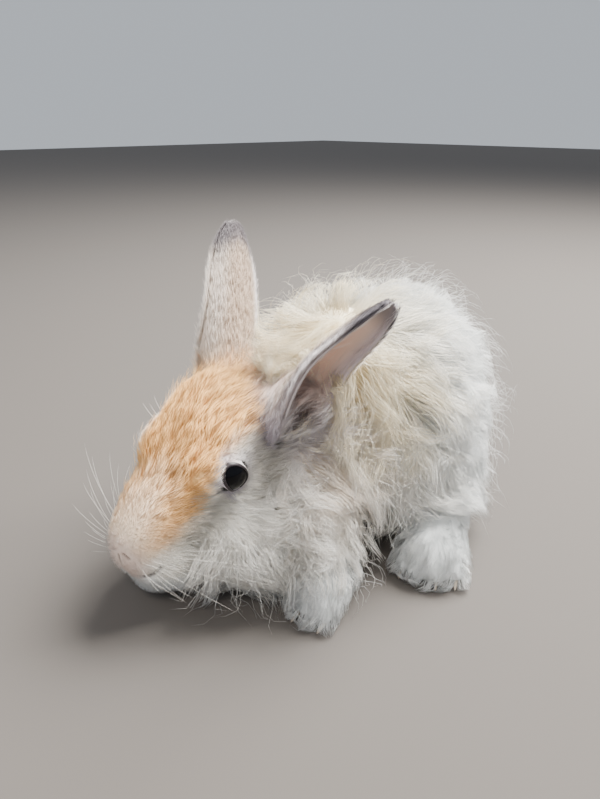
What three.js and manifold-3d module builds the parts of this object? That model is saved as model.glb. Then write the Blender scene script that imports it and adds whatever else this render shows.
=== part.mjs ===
// A young angora rabbit crouching with its head low, life size, in millimetres.
// +X is the rabbit's left, -Y the way it faces, +Z up, and the floor under its feet is Z = 0.
import * as THREE from "three";
import { mergeVertices } from "three/addons/utils/BufferGeometryUtils.js";
import Module from "manifold-3d";

const wasm = await Module();
wasm.setup();

// Driving dimensions.
const SEAM = 0.3; // gap between two neighbouring nodes
const FLOOR_CLEARANCE = 1.6; // lowest level of the wool above the floor
const COAT_DEPTH = 13; // from the flesh to the tips of the wool
const CORE_DEPTH = 6.5; // from the tips down to the solid core under the locks
const HEAD_LENGTH = 89; // nose to back of the skull, with the short fur
const HEAD_SCALE = HEAD_LENGTH / 95; // the head below is written at 95 mm
const EYE_RADIUS = 7.6;
const EAR_WIDTH = 25;
const EAR_WALL = 2.4;
const MOUTH_GAP = 0.8;

// Vector helpers.
const v = (x, y, z) => new THREE.Vector3(x, y, z);
const lerp = (a, b, t) => a + (b - a) * t;
const clamp01 = (t) => Math.min(1, Math.max(0, t));
const radians = THREE.MathUtils.degToRad;
const smoothstep = (a, b, x) => {
  const t = clamp01((x - a) / (b - a));
  return t * t * (3 - 2 * t);
};

// Distance-like fields, negative inside. Each one is a function of a point.
function ellipsoid(centre, radii, turn = new THREE.Euler()) {
  const back = new THREE.Quaternion().setFromEuler(turn).invert();
  return (p) => {
    const q = p.clone().sub(centre).applyQuaternion(back);
    const near = v(q.x / radii.x, q.y / radii.y, q.z / radii.z).length();
    const far = v(q.x / radii.x ** 2, q.y / radii.y ** 2, q.z / radii.z ** 2).length();
    return far < 1e-9 ? -Math.min(radii.x, radii.y, radii.z) : (near * (near - 1)) / far;
  };
}

function roundCone(a, b, radiusA, radiusB) {
  const axis = b.clone().sub(a);
  const length2 = axis.lengthSq();
  return (p) => {
    const t = clamp01(p.clone().sub(a).dot(axis) / length2);
    return p.distanceTo(a.clone().addScaledVector(axis, t)) - lerp(radiusA, radiusB, t);
  };
}

function smoothUnion(fields, blend) {
  return (p) => {
    let d = Infinity;
    for (const field of fields) {
      const e = field(p);
      const h = Math.max(blend - Math.abs(d - e), 0) / blend;
      d = Math.min(d, e) - h * h * blend * 0.25;
    }
    return d;
  };
}

// The place where a ray from a centre leaves the field for the last time.
function surfacePoint(field, centre, direction, reach, level) {
  const at = (t) => field(centre.clone().addScaledVector(direction, t)) - level;
  const step = reach / 80;
  let outer = reach;
  while (outer > step && at(outer - step) > 0) outer -= step;
  let inner = Math.max(outer - step, 0);
  for (let i = 0; i < 18; i++) {
    const middle = (inner + outer) / 2;
    if (at(middle) > 0) outer = middle;
    else inner = middle;
  }
  return centre.clone().addScaledVector(direction, inner);
}

// Closed geometries become solids, and solids become geometries again.
function solid(geometry, matrix) {
  const plain = new THREE.BufferGeometry();
  plain.setAttribute("position", geometry.attributes.position.clone());
  if (geometry.index) plain.setIndex(geometry.index.clone());
  if (matrix) plain.applyMatrix4(matrix);
  const merged = mergeVertices(plain, 1e-4);
  const made = new wasm.Manifold(
    new wasm.Mesh({
      numProp: 3,
      vertProperties: new Float32Array(merged.attributes.position.array),
      triVerts: new Uint32Array(merged.index.array),
    }),
  );
  if (made.volume() < 0) throw new Error("a solid is inside out");
  return made;
}

function geometryOf(made) {
  const mesh = made.getMesh();
  const geometry = new THREE.BufferGeometry();
  geometry.setAttribute("position", new THREE.BufferAttribute(new Float32Array(mesh.vertProperties), 3));
  geometry.setIndex(new THREE.BufferAttribute(new Uint32Array(mesh.triVerts), 1));
  geometry.computeVertexNormals();
  return geometry;
}

const largest = (made) => made.decompose().reduce((a, b) => (b.volume() > a.volume() ? b : a));

const unite = (solids) => wasm.Manifold.union(solids);

// A ball whose vertices are pushed out onto the surface of a field.
function body(field, centre, detail, level = 0) {
  const geometry = new THREE.IcosahedronGeometry(1, detail);
  const place = geometry.attributes.position;
  for (let i = 0; i < place.count; i++) {
    const direction = v(place.getX(i), place.getY(i), place.getZ(i)).normalize();
    const p = surfacePoint(field, centre, direction, 160, level);
    place.setXYZ(i, p.x, p.y, p.z);
  }
  return solid(geometry);
}

function ball(centre, radii, detail = 3, turn = new THREE.Euler()) {
  const matrix = new THREE.Matrix4().compose(centre, new THREE.Quaternion().setFromEuler(turn), radii);
  return solid(new THREE.IcosahedronGeometry(1, detail), matrix);
}

// Half of space behind a plane, the plane's normal pointing out of it.
function behind(point, normal) {
  const n = normal.clone().normalize();
  const turn = new THREE.Quaternion().setFromUnitVectors(v(0, 0, 1), n);
  const centre = point.clone().addScaledVector(n, -200);
  return solid(new THREE.BoxGeometry(400, 400, 400), new THREE.Matrix4().compose(centre, turn, v(1, 1, 1)));
}

// Steepest rise of a field at a point: the way out of the body.
function outward(field, p) {
  const e = 0.5;
  const across = (dx, dy, dz) =>
    field(v(p.x + dx, p.y + dy, p.z + dz)) - field(v(p.x - dx, p.y - dy, p.z - dz));
  return v(across(e, 0, 0), across(0, e, 0), across(0, 0, e)).normalize();
}

// A point moved along that way until the field has the wanted level.
function atLevel(field, p, level) {
  const q = p.clone();
  for (let i = 0; i < 3; i++) q.addScaledVector(outward(field, q), level - field(q));
  return q;
}

// Numbers between 0 and 1 that come out the same each time.
function seeded(seed) {
  let state = seed;
  return () => {
    state = (state * 1664525 + 1013904223) % 4294967296;
    return state / 4294967296;
  };
}

// One lock of wool: flat, tapered, rooted below the core and lying along the coat to its tip.
function lock(field, root, lie, size, rootLevel, tipLevel, curl) {
  const rings = 4;
  const shape = new THREE.ConeGeometry(1, 1, 3, rings);
  const spine = [];
  let p = atLevel(field, root, rootLevel);
  let heading = lie.clone();
  for (let i = 0; i <= rings; i++) {
    const h = i / rings;
    const normal = outward(field, p);
    heading.addScaledVector(normal, -heading.dot(normal)).normalize();
    spine.push({ p: p.clone(), normal, heading: heading.clone() });
    heading.applyAxisAngle(normal, curl / rings);
    const level = lerp(rootLevel, tipLevel, smoothstep(0, 0.75, h + 1 / rings));
    p = atLevel(field, p.clone().addScaledVector(heading, size.length / rings), level);
  }
  const place = shape.attributes.position;
  for (let i = 0; i < place.count; i++) {
    const h = clamp01(place.getY(i) + 0.5);
    const at = spine[Math.round(h * rings)];
    const side = new THREE.Vector3().crossVectors(at.heading, at.normal);
    const taper = h > 0.99 ? 0 : lerp(0.7, 1, smoothstep(0, 0.3, h)) / (1 - h) ** 0.4;
    const q = at.p.clone();
    q.addScaledVector(side, (place.getX(i) * taper * size.width) / 2);
    q.addScaledVector(at.normal, (place.getZ(i) * taper * size.thickness) / 2);
    place.setXYZ(i, q.x, q.y, q.z);
  }
  return solid(shape);
}

// The head in its own frame: origin midway between the eyes, +X left, -Y to the nose, +Z to the crown.
const headShape = smoothUnion(
  [
    ellipsoid(v(0, 13, 0), v(21, 28, 23)), // skull
    roundCone(v(0, 0, -2), v(0, -34, -9), 21, 12.2), // bridge of the nose and upper jaw
    ellipsoid(v(0, -24, -6), v(15, 16, 14)), // sides of the bridge
    ellipsoid(v(-2, 15, 12), v(19, 17, 15)), // tuft in front of the ears
    ellipsoid(v(11, -29, -27), v(10, 12, 12)), // left puff behind the mouth
    ellipsoid(v(-11, -29, -27), v(10, 12, 12)), // right puff behind the mouth
    ellipsoid(v(0, -39, -11), v(9, 9, 10)), // nose
    roundCone(v(0, 10, -26), v(0, -35, -32.5), 18, 11.5), // lower jaw
    ellipsoid(v(5.5, -37, -19), v(8.5, 9.5, 10)), // left whisker pad
    ellipsoid(v(-5.5, -37, -19), v(8.5, 9.5, 10)), // right whisker pad
    ellipsoid(v(13, 10, -19), v(16, 22, 22)), // left cheek
    ellipsoid(v(-13, 10, -19), v(16, 22, 22)), // right cheek
    ellipsoid(v(14, -2, 9), v(7, 15, 8)), // left brow
    ellipsoid(v(-14, -2, 9), v(7, 15, 8)), // right brow
  ],
  9,
);
const HEAD_AT = v(-18.5, -8.3, 52.3);
const HEAD_TURN = { yaw: 10, pitch: 17, roll: 9 };
const headPlace = new THREE.Matrix4()
  .makeTranslation(HEAD_AT)
  .multiply(new THREE.Matrix4().makeRotationZ(radians(HEAD_TURN.yaw)))
  .multiply(new THREE.Matrix4().makeRotationX(radians(HEAD_TURN.pitch)))
  .multiply(new THREE.Matrix4().makeRotationY(radians(HEAD_TURN.roll)))
  .multiply(new THREE.Matrix4().makeScale(HEAD_SCALE, HEAD_SCALE, HEAD_SCALE));
const headPlaceBack = headPlace.clone().invert();
const onHead = (x, y, z) => v(x, y, z).applyMatrix4(headPlace);

// Each ear stands on a thick root that grows out of the back of the skull.
const earBases = { right: onHead(-5.5, 28, 8), left: onHead(15, 27, 6) };
const earTips = { right: v(-56, 41, 130.7), left: v(34, 36, 116) };
const earFaces = { right: v(-0.92, 0.05, 0), left: v(0.77, -0.2, -0.6) };
const EAR_ROOT_WIDTHS = { right: 20, left: 24 };
const headField = (p) => headShape(p.clone().applyMatrix4(headPlaceBack)) * HEAD_SCALE;
const HEAD_CENTRE = onHead(0, -13, -9);

// Eyes, with a lid fused to the head round each of them.
const EYE_AT = v(16.3, -2.2, 5.3);
const eyes = {};
const lids = [];
const sockets = [];
for (const [side, sign] of [["left", 1], ["right", -1]]) {
  const centre = onHead(sign * EYE_AT.x, EYE_AT.y, EYE_AT.z);
  eyes[side] = ball(centre, v(EYE_RADIUS, EYE_RADIUS, EYE_RADIUS), 3);
  sockets.push(ball(centre, v(1, 1, 1).multiplyScalar(EYE_RADIUS + SEAM), 3));
  const outward = v(sign * 0.95, -0.25, 0.18).normalize();
  const lid = new THREE.TorusGeometry(7.5, 1.3, 6, 18);
  const turn = new THREE.Quaternion().setFromUnitVectors(v(0, 0, 1), outward);
  const at = v(sign * EYE_AT.x, EYE_AT.y, EYE_AT.z).addScaledVector(outward, 4.4);
  const place = new THREE.Matrix4().compose(at, turn, v(1, 0.92, 1));
  lids.push(solid(lid, place.premultiply(headPlace)));
}

// The line of the mouth: a thin curved blade that bites into the lips from the front.
function mouthBlade() {
  const blade = new THREE.BoxGeometry(2, 1, 1, 12, 1, 1);
  const place = blade.attributes.position;
  for (let i = 0; i < place.count; i++) {
    const u = place.getX(i);
    const outer = place.getY(i) < 0;
    const high = place.getZ(i) > 0 ? MOUTH_GAP / 2 : -MOUTH_GAP / 2;
    const angle = u * 1.15;
    const radius = outer ? 20 : 10.5;
    const rise = -17.3 + 3.7 * u * u;
    place.setXYZ(i, radius * Math.sin(angle), -34.5 - radius * Math.cos(angle), rise + high);
  }
  return solid(blade, headPlace);
}

const cutters = [
  mouthBlade(),
  solid(
    new THREE.BoxGeometry(0.8, 6, 8),
    headPlace.clone().multiply(new THREE.Matrix4().makeTranslation(0, -49, -13.5)),
  ),
];
for (const sign of [1, -1]) {
  const slant = new THREE.Quaternion().setFromEuler(new THREE.Euler(0, sign * radians(38), 0));
  const place = new THREE.Matrix4().compose(v(sign * 3.6, -48.2, -7), slant, v(2.4, 3, 0.9));
  cutters.push(solid(new THREE.IcosahedronGeometry(1, 2), headPlace.clone().multiply(place)));
}

// The ears: cupped leaves that rise from a narrow rolled base and end in a rounded tip.
function ear(base, tip, opening, wrapBase) {
  const along = tip.clone().sub(base);
  const length = along.length();
  along.normalize();
  const face = opening.clone().addScaledVector(along, -opening.dot(along)).normalize();
  const side = new THREE.Vector3().crossVectors(along, face);
  const leaf = new THREE.BoxGeometry(2, 1, 1, 8, 12, 1);
  const place = leaf.attributes.position;
  for (let i = 0; i < place.count; i++) {
    const u = place.getX(i);
    const s = place.getY(i) + 0.5;
    const inner = place.getZ(i) > 0;
    const blade = Math.sqrt(Math.max(0.012, 1 - ((s - 0.45) / 0.56) ** 2));
    const halfWidth = (EAR_WIDTH / 2) * lerp(0.62, blade, smoothstep(0, 0.3, s));
    const wrap = lerp(wrapBase, 1.05, smoothstep(0.02, 0.5, s));
    const arc = halfWidth / Math.sin(Math.min(wrap, 1.45));
    const wall = EAR_WALL * lerp(1.5, 0.75, s) * lerp(1, 0.6, u * u);
    const radius = arc - (inner ? wall : 0);
    const p = base.clone().addScaledVector(along, s * length);
    p.addScaledVector(side, radius * Math.sin(u * wrap));
    p.addScaledVector(face, arc * 0.75 - radius * Math.cos(u * wrap));
    p.addScaledVector(face, -2 * Math.sin(Math.PI * s));
    place.setXYZ(i, p.x, p.y, p.z);
  }
  return solid(leaf);
}

// The thick furry root round the foot of the ear, with the channel of the ear cut down into it.
function earRoot(side, grow = 0) {
  const base = earBases[side];
  const along = earTips[side].clone().sub(base).normalize();
  const face = earFaces[side].clone().addScaledVector(along, -earFaces[side].dot(along)).normalize();
  const at = (s, out) => base.clone().addScaledVector(along, s).addScaledVector(face, out);
  const width = EAR_ROOT_WIDTHS[side];
  const root = body(roundCone(at(-3, 2), at(17, 3), width / 2, width * 0.38), at(5, 2), 2, grow);
  const channel = body(roundCone(at(7, 8), at(34, 14), 5.5, 11), at(18, 10), 2);
  return grow ? root : root.subtract(channel);
}

// Wool out to the tips, in three forms that grow into each other: ruff, chest and trunk.
const ruffField = smoothUnion(
  [
    roundCone(v(-24, 37, 67), v(-14, 56, 66), 18, 37), // neck and ruff
    ellipsoid(v(-6, 26, 42), v(30, 24, 27)), // base of the throat
  ],
  12,
);
const RUFF_CENTRE = v(-14, 42, 58);
const chestField = smoothUnion(
  [
    ellipsoid(v(-7, 2, 25), v(32, 31, 25)), // chest
    ellipsoid(v(-6, 24, 36), v(30, 24, 27)), // brisket
  ],
  12,
);
const CHEST_CENTRE = v(-7, 10, 29);
const trunkField = smoothUnion(
  [
    ellipsoid(v(-11, 59, 61), v(43, 36, 49)), // shoulders and back
    ellipsoid(v(-3, 83, 58), v(42, 45, 49)), // rump
    ellipsoid(v(24, 80, 38), v(20, 32, 34)), // left thigh
    ellipsoid(v(-24, 80, 38), v(20, 32, 34)), // right thigh
    ellipsoid(v(0, 64, 36), v(36, 50, 28)), // belly
  ],
  12,
);
const TRUNK_CENTRE = v(-2, 70, 50);

// Legs and feet.
function foot(heel, toes, halfWidth, height, toeSpread, toeSize) {
  const along = toes.clone().sub(heel).normalize();
  const side = new THREE.Vector3().crossVectors(v(0, 0, 1), along);
  const heelMiddle = v(heel.x, heel.y, height * 0.55);
  const toesMiddle = v(toes.x, toes.y, height * 0.42);
  const fields = [roundCone(heelMiddle, toesMiddle, halfWidth * 0.85, halfWidth)];
  for (let i = 0; i < 4; i++) {
    const u = (i - 1.5) / 1.5;
    const reach = toeSize * (1.15 - 0.35 * u * u);
    const tip = toes.clone().addScaledVector(side, u * toeSpread).addScaledVector(along, reach);
    const knuckle = toes.clone().addScaledVector(side, u * toeSpread * 0.6);
    const from = v(knuckle.x, knuckle.y, height * 0.5);
    const to = v(tip.x, tip.y, toeSize * 0.62);
    fields.push(roundCone(from, to, toeSize * 0.75, toeSize * 0.62));
  }
  return smoothUnion(fields, 4);
}

const legs = [
  {
    name: "left",
    foreUpper: roundCone(v(21, 21, 30), v(27, 13, 14), 13, 11),
    foreFoot: foot(v(28, 18, 0), v(29, 8, 0), 9.5, 16, 8, 6.5),
    foreCentre: v(28.5, 12, 7),
    hindFoot: foot(v(22, 98, 0), v(44, 58, 0), 13.5, 17, 11, 8),
    hindCentre: v(33, 78, 8),
  },
  {
    name: "right",
    foreUpper: roundCone(v(-29, 19, 30), v(-34, 11, 14), 13, 11),
    foreFoot: foot(v(-35, 15, 0), v(-37, 5, 0), 9.5, 16, 8, 6.5),
    foreCentre: v(-36, 9, 7),
    hindFoot: foot(v(-26, 104, 0), v(-44, 62, 0), 12, 17, 10, 7.5),
    hindCentre: v(-35, 83, 8),
  },
];
const tailField = ellipsoid(v(0, 124, 44), v(12, 13, 15), new THREE.Euler(radians(-25), 0, 0));

// The nodes. Each form is cut clear of the ones before it by the width of a seam.
const aboveFloor = behind(v(0, 0, 0), v(0, 0, -1));
const aboveGap = behind(v(0, 0, FLOOR_CLEARANCE), v(0, 0, -1));
const nodes = {};
const headSolid = body(headField, HEAD_CENTRE, 8);
const headClear = body(headField, HEAD_CENTRE, 6, SEAM + 0.5);
nodes.head = largest(unite([headSolid, ...lids]).subtract(unite([...sockets, ...cutters])));
nodes.eye_left = eyes.left;
nodes.eye_right = eyes.right;

for (const side of ["left", "right"]) {
  const whole = unite([ear(earBases[side], earTips[side], earFaces[side], 1.9), earRoot(side)]);
  nodes["ear_" + side] = largest(whole.subtract(headClear));
}

// The wool: a core half as deep as the coat, and overlapping locks that lie over it.
const woolForms = [
  { field: ruffField, centre: RUFF_CENTRE, detail: 3, locks: 52, over: [trunkField, chestField], seed: 5 },
  { field: chestField, centre: CHEST_CENTRE, detail: 3, locks: 46, over: [trunkField, ruffField], seed: 11 },
  { field: trunkField, centre: TRUNK_CENTRE, detail: 4, locks: 75, over: [ruffField, chestField], seed: 19 },
];
const LOCK_SIZES = [
  { length: 36, width: 18, thickness: 6 },
  { length: 40, width: 20, thickness: 6.5 },
  { length: 31, width: 17, thickness: 5.5 },
];
const woolSolids = [];
for (const form of woolForms) {
  const random = seeded(form.seed);
  woolSolids.push(body(form.field, form.centre, form.detail, -CORE_DEPTH));
  for (let i = 0; i < form.locks; i++) {
    const z = 1 - (2 * (i + 0.5)) / form.locks;
    const turn = i * 2.399963 + (random() - 0.5) * 0.5;
    const direction = v(Math.sqrt(1 - z * z) * Math.cos(turn), Math.sqrt(1 - z * z) * Math.sin(turn), z);
    const root = surfacePoint(form.field, form.centre, direction, 160, -CORE_DEPTH);
    const size = LOCK_SIZES[Math.floor(random() * LOCK_SIZES.length)];
    const curl = (random() - 0.5) * 0.9;
    const lift = random() * 2.5;
    if (form.over.some((other) => other(root) < -CORE_DEPTH - 1)) continue;
    if (headField(root) < -2 || root.z < 4.5) continue;
    if (outward(form.field, root).z < -0.7 && i % 2) continue;
    // Wool lies backwards over the back, and falls down the flanks and the chest.
    const normal = outward(form.field, root);
    const lie = v(0.25 * normal.x, 0.55 + 0.9 * normal.y * 0.2, -0.25 - 0.75 * (1 - Math.max(0, normal.z)));
    if (normal.y < -0.5) lie.set(0.3 * normal.x, 0.1, -1);
    lie.addScaledVector(v(random() - 0.5, random() - 0.5, random() - 0.5), 0.5);
    lie.addScaledVector(normal, -lie.dot(normal)).normalize();
    woolSolids.push(lock(form.field, root, lie, size, -CORE_DEPTH - 4, lift, curl));
  }
}
const wool = unite(woolSolids).intersect(aboveGap);
const footClear = [];
for (const leg of legs) {
  nodes["forefoot_" + leg.name] = largest(body(leg.foreFoot, leg.foreCentre, 3).intersect(aboveFloor));
  nodes["hindfoot_" + leg.name] = largest(body(leg.hindFoot, leg.hindCentre, 3).intersect(aboveFloor));
  footClear.push(body(leg.foreFoot, leg.foreCentre, 2, SEAM + 1.2));
  footClear.push(body(leg.hindFoot, leg.hindCentre, 3, SEAM + 1));
}
const feetClear = unite(footClear);
const taken = [headClear, feetClear];
for (const leg of legs) {
  const centre = leg.name === "left" ? v(24, 17, 22) : v(-31, 15, 22);
  const upper = body(leg.foreUpper, centre, 3).intersect(aboveGap);
  nodes["foreleg_" + leg.name] = largest(upper.subtract(unite(taken)));
  taken.push(body(leg.foreUpper, centre, 2, SEAM + 0.8));
}
for (const [side, sign] of [["left", 1], ["right", -1]]) {
  const reach = ellipsoid(v(sign * 33, 80, 32), v(20, 32, 36));
  const centre = v(sign * 33, 80, 32);
  const clear = unite(taken);
  nodes["thigh_" + side] = largest(wool.intersect(body(reach, centre, 3)).subtract(clear));
  taken.push(body(reach, centre, 3, SEAM));
}
nodes.tail = largest(body(tailField, v(0, 124, 44), 3).intersect(aboveGap));
taken.push(body(tailField, v(0, 124, 44), 3, SEAM));
for (const side of ["left", "right"]) {
  taken.push(ear(earBases[side], earTips[side], earFaces[side], 1.9));
  taken.push(earRoot(side, SEAM));
}
const trunk = wool.subtract(unite(taken));
const neckPlane = { at: v(-8, 40, 60), out: v(-0.15, -1, 0.1).normalize() };
const loinAt = v(0, 62, 50);
const shifted = (p, n, d) => p.clone().addScaledVector(n, d);
const inFront = (at, out, gap) => behind(shifted(at, out, gap / 2), out.clone().negate());
const ruff = trunk.intersect(inFront(neckPlane.at, neckPlane.out, SEAM));
const chestPlane = { at: v(-8, 20, 47), out: v(0, 0.35, 1).normalize() };
nodes.neck = largest(ruff.intersect(inFront(chestPlane.at, chestPlane.out, SEAM)));
const belowChestPlane = behind(shifted(chestPlane.at, chestPlane.out, -SEAM / 2), chestPlane.out);
nodes.chest = largest(ruff.intersect(belowChestPlane));
const rest = trunk.intersect(behind(shifted(neckPlane.at, neckPlane.out, -SEAM / 2), neckPlane.out));
nodes.torso_front = largest(rest.intersect(behind(shifted(loinAt, v(0, 1, 0), -SEAM / 2), v(0, 1, 0))));
nodes.torso_rear = largest(rest.intersect(behind(shifted(loinAt, v(0, -1, 0), -SEAM / 2), v(0, -1, 0))));

// Materials, after the colours of the coat.
const material = (name, color, roughness) => {
  const made = new THREE.MeshStandardMaterial({ color, roughness, metalness: 0 });
  made.name = name;
  return made;
};
const whiteWool = material("white_wool", 0xe6e3dc, 0.95);
const fawnFur = material("fawn_fur", 0xdcbf95, 0.9);
const eyeball = material("eye", 0x15151c, 0.08);
const earSkin = material("ear_fur", 0xe2cfc8, 0.85);

const root = new THREE.Group();
root.name = "angora_rabbit";
for (const [name, made] of Object.entries(nodes)) {
  let chosen = whiteWool;
  if (name === "head") chosen = fawnFur;
  if (name.startsWith("eye_")) chosen = eyeball;
  if (name.startsWith("ear_")) chosen = earSkin;
  const mesh = new THREE.Mesh(geometryOf(made), chosen);
  mesh.name = name;
  root.add(mesh);
}

// The model stands over the middle of its own outline, on the floor.
const outline = new THREE.Box3().setFromObject(root);
const middle = outline.getCenter(v(0, 0, 0));
for (const mesh of root.children) mesh.geometry.translate(-middle.x, -middle.y, -outline.min.z);

export default root;
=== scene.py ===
# A young angora rabbit crouching with its head low: a still, life-size museum model.
# The fields below are in millimetres from a point between the forefeet, as the solids are.
import math

import bmesh
import bpy
import numpy as np
from mathutils import Matrix, Vector
from mathutils.kdtree import KDTree


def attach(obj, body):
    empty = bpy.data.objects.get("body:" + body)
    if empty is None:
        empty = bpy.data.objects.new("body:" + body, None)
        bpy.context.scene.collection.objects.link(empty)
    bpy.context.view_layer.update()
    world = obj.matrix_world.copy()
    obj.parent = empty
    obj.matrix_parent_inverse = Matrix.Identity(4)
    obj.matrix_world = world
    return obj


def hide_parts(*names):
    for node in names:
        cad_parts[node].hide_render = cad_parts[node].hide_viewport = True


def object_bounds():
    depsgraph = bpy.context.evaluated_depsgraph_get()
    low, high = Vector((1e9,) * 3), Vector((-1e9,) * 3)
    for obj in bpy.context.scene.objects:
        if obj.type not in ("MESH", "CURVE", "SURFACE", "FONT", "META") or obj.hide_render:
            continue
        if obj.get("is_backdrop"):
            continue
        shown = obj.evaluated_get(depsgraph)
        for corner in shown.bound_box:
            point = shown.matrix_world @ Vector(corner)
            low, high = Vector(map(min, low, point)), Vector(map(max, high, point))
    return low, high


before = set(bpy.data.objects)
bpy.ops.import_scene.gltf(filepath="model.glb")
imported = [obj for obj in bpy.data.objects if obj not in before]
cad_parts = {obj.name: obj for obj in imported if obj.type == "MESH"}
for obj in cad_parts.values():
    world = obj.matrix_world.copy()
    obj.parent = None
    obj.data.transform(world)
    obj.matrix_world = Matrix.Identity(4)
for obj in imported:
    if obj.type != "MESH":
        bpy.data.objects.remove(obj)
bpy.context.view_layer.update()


# The camera
# It stands above and in front of the rabbit's left shoulder and looks 25 degrees down.
CAMERA_AT = (0.15059, -0.15834, 0.168)
CAMERA_LENS = 27.03  # in millimetres, on a sensor 36 mm wide
CAMERA_TURN = (math.radians(65), 0, math.radians(47))
camera = bpy.data.objects.new("camera", bpy.data.cameras.new("camera"))
camera.data.sensor_width = 36
camera.data.lens = CAMERA_LENS
camera.data.clip_start = 0.01
camera.location = CAMERA_AT
camera.rotation_euler = CAMERA_TURN
bpy.context.scene.collection.objects.link(camera)
bpy.context.scene.camera = camera


# The floor and the light
# A grey, matt studio floor under a wide, soft sky of light, with one large lamp above and behind
# the rabbit and a weak one in front of its face. None of this is part of the model.
def colour(hex_code):
    """sRGB hex to linear red, green and blue."""
    parts = [int(hex_code[i:i + 2], 16) / 255 for i in (0, 2, 4)]
    return [c / 12.92 if c <= 0.04045 else ((c + 0.055) / 1.055) ** 2.4 for c in parts]


def add_node(tree, kind, links=(), **settings):
    """Adds a shader node. Settings are properties or socket values, links are (socket, output)."""
    made = tree.nodes.new(kind)
    for name, value in settings.items():
        if hasattr(made, name):
            setattr(made, name, value)
        else:
            made.inputs[name.replace("_", " ")].default_value = value
    for socket, output in links:
        tree.links.new(output, made.inputs[socket])
    return made


def new_material(name, base, roughness, **settings):
    """A material of one Principled shader, with its constant values set on the sockets."""
    made = bpy.data.materials.new(name)
    made.use_nodes = True
    shader = made.node_tree.nodes["Principled BSDF"]
    shader.inputs["Base Color"].default_value = [*colour(base), 1]
    shader.inputs["Roughness"].default_value = roughness
    for socket, value in settings.items():
        shader.inputs[socket.replace("_", " ")].default_value = value
    made.diffuse_color = [*colour(base), 1]
    return made


def add_object(name, shape, *materials):
    """Links a mesh, or a bmesh that is then freed, as a smooth object at the origin."""
    if isinstance(shape, bmesh.types.BMesh):
        mesh = bpy.data.meshes.new(name)
        shape.to_mesh(mesh)
        shape.free()
    else:
        mesh = shape
        mesh.name = name
    made = bpy.data.objects.new(name, mesh)
    bpy.context.scene.collection.objects.link(made)
    for material in materials:
        mesh.materials.append(material)
    mesh.shade_smooth()
    return made


floor_paint = new_material("grey_matt_floor", "5c5753", 0.9)
shape = bmesh.new()
bmesh.ops.create_grid(shape, x_segments=1, y_segments=1, size=4)
floor = add_object("floor", shape, floor_paint)
floor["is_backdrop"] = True

sky = bpy.data.worlds.new("soft_sky")
sky.use_nodes = True
background = sky.node_tree.nodes["Background"]
background.inputs["Color"].default_value = [*colour("e2e9f2"), 1]
background.inputs["Strength"].default_value = 0.68
bpy.context.scene.world = sky

for name, place, target, size, power, tint in (
    ("lamp_above", (0.1, 0.6, 1.0), (0, 0, 0.05), 0.7, 78.0, "fffdf8"),
    ("lamp_in_front", (0.45, -0.55, 0.95), (0, 0, 0.04), 0.25, 6.0, "fff8f0"),
):
    lamp = bpy.data.lights.new(name, "AREA")
    lamp.size = size
    lamp.energy = power
    lamp.color = colour(tint)
    lamp_object = bpy.data.objects.new(name, lamp)
    lamp_object.location = place
    aim = Vector(target) - Vector(place)
    lamp_object.rotation_euler = aim.to_track_quat("-Z", "Y").to_euler()
    bpy.context.scene.collection.objects.link(lamp_object)


# The form of the body
# The same named sizes as the solids, written as distance-like fields that work on arrays of
# points. Each field gives the outside of the coat; the skin lies inside it by the coat's depth.
MIDDLE = np.array((-0.09, 43.55, 0.0))  # the model's origin in these numbers
HEAD_SCALE = 89 / 95  # the head's length over its length in the sizes below
HEAD_AT = np.array((-18.5, -8.3, 52.3))
HEAD_TURN = np.array(
    Matrix.Rotation(math.radians(10), 3, "Z")
    @ Matrix.Rotation(math.radians(17), 3, "X")
    @ Matrix.Rotation(math.radians(9), 3, "Y")
)
EYE_RADIUS = 7.6
EYE_AT = (16.3, -2.2, 5.3)


def to_model(points):
    return (points - MIDDLE) * 0.001


def from_model(points):
    return points * 1000 + MIDDLE


def on_head(*point):
    """A place on the head: x to its left, y backwards from between the eyes, and z upwards."""
    return HEAD_AT + HEAD_TURN @ (np.array(point, float) * HEAD_SCALE)


def in_head(points):
    """Where points lie in the head's own sizes."""
    return (points - HEAD_AT) @ HEAD_TURN / HEAD_SCALE


def smoothstep(low, high, x):
    t = np.clip((x - low) / (high - low), 0, 1)
    return t * t * (3 - 2 * t)


def unit(vectors):
    return vectors / np.maximum(np.linalg.norm(vectors, axis=-1, keepdims=True), 1e-9)


def ellipsoid(centre, radii, turn=None):
    centre, radii = np.array(centre, float), np.array(radii, float)

    def field(p):
        q = p - centre
        if turn is not None:
            q = q @ turn
        near = np.linalg.norm(q / radii, axis=1)
        far = np.linalg.norm(q / radii ** 2, axis=1)
        return near * (near - 1) / np.maximum(far, 1e-9)

    # Balls that fill the form, each by its centre, radii and turn. The skin is grown from them.
    field.balls = [(centre, radii, np.eye(3) if turn is None else turn)]
    return field


def round_cone(a, b, radius_a, radius_b):
    a, b = np.array(a, float), np.array(b, float)
    axis = b - a

    def field(p):
        t = np.clip((p - a) @ axis / (axis @ axis), 0, 1)
        return np.linalg.norm(p - a - t[:, None] * axis, axis=1) - radius_a - (radius_b - radius_a) * t

    field.balls = [
        (a + axis * t, np.full(3, radius_a + (radius_b - radius_a) * t), np.eye(3))
        for t in np.linspace(0, 1, 6)
    ]
    return field


def smooth_union(fields, blend):
    """One form out of several, with the seams between them filled over a width of blend."""
    def field(p):
        d = fields[0](p)
        for other in fields[1:]:
            e = other(p)
            h = np.maximum(blend - np.abs(d - e), 0) / blend
            d = np.minimum(d, e) - h * h * blend * 0.25
        return d

    field.balls = [ball for part in fields for ball in part.balls]
    return field


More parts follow.
